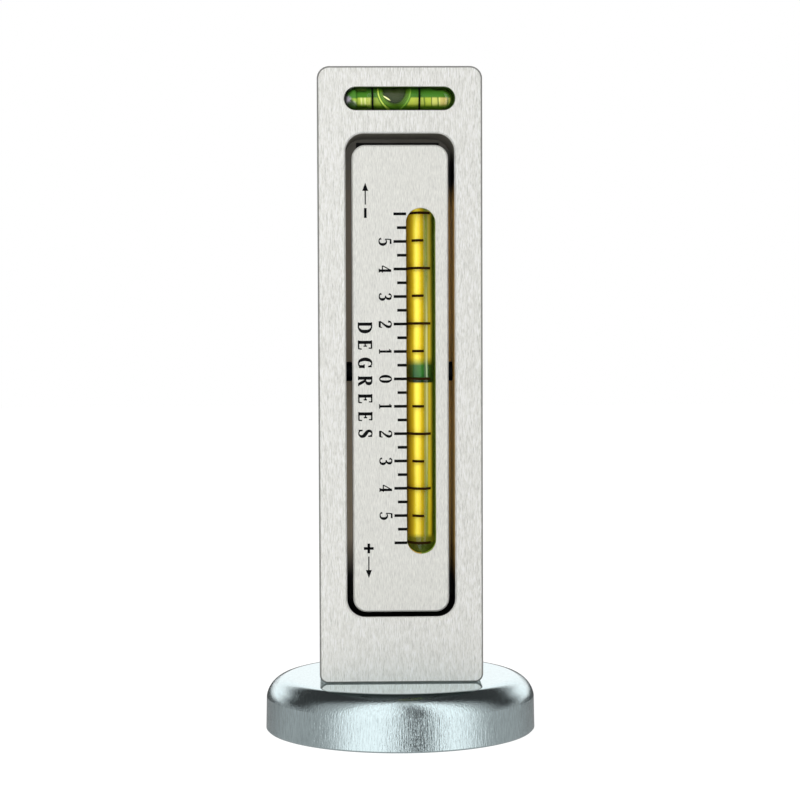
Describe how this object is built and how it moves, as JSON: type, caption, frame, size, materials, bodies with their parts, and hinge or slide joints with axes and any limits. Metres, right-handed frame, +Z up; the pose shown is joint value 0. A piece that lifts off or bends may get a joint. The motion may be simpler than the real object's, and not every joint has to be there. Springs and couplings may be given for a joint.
{
  "type": "camber caster gauge",
  "caption": "Magnetic wheel alignment gauge: an aluminium bar on a round magnet foot, with a level vial and a rocking block of tilt vials zeroed by a thumb screw.",
  "frame": {"origin": "centre of the magnet foot's face, on the surface that it stands on", "axes": "+Z up along the bar, +X to the right of the camber scale, -Y the side of the camber scale and level vial, +Y the back with the zero knob"},
  "size_m": [0.067, 0.067, 0.1632],
  "materials": {
    "bar_aluminium": "brushed lengthwise",
    "block_aluminium": "fine satin",
    "black_steel": "black oxide",
    "vial_acrylic": "clear",
    "yellow_liquid": "clear yellow liquid",
    "green_liquid": "clear green liquid",
    "dark_rubber": "matt",
    "brass": "turned",
    "bright_steel": "turned, zinc plated",
    "knob_aluminium": "turned and knurled",
    "spring_steel": "drawn wire",
    "plated_cup": "drawn and nickel plated",
    "ferrite": "ground, matt"
  },
  "bodies": {
    "gauge_body": {"frame": "bar_aluminium", "pivot_pin": "black_steel", "level_vial_tube": "vial_acrylic", "level_vial_liquid": "green_liquid", "level_vial_plug": "dark_rubber", "zero_bush": "brass", "drag_spring": "spring_steel", "return_spring": "spring_steel", "magnet_cup": "plated_cup", "ring_magnet": "ferrite", "centre_pole": "bright_steel", "foot_screw": "black_steel", "lock_washer": "spring_steel", "dowel_pin": "bright_steel"},
    "rocking_block": {"vial_block": "block_aluminium", "camber_vial_tube": "vial_acrylic", "camber_vial_liquid": "yellow_liquid", "camber_vial_plug": "dark_rubber", "caster_vial_tube": "vial_acrylic", "caster_vial_liquid": "yellow_liquid", "caster_vial_plug": "dark_rubber", "vial_pad_top": "dark_rubber", "vial_pad_bottom": "dark_rubber"},
    "pad": {"pressure_pad": "brass"},
    "thumb_screw": {"zero_screw": "bright_steel", "zero_knob": "knob_aluminium"}
  },
  "joints": [
    {"name": "block_tilt", "type": "hinge", "parent": "gauge_body", "child": "rocking_block", "pos_m": [0, 0, 0.089], "axis": [1, 0, 0], "range_deg": [-2.5, 2.5], "deforming": ["return_spring"]},
    {"name": "pad_travel", "type": "slide", "parent": "gauge_body", "child": "pad", "axis": [0, 1, 0], "range_m": [-0.0024, 0.0024], "deforming": ["drag_spring"]},
    {"name": "zero_screw_turn", "type": "hinge", "parent": "pad", "child": "thumb_screw", "pos_m": [0, 0.02, 0.036], "axis": [0, 1, 0], "range_deg": [-1188, 1188]}
  ],
  "couplings": [
    {"joint": "pad_travel", "follows": "zero_screw_turn", "m_per_rad": 0.00011141},
    {"joint": "block_tilt", "follows": "zero_screw_turn", "ratio": 0.002102}
  ]
}
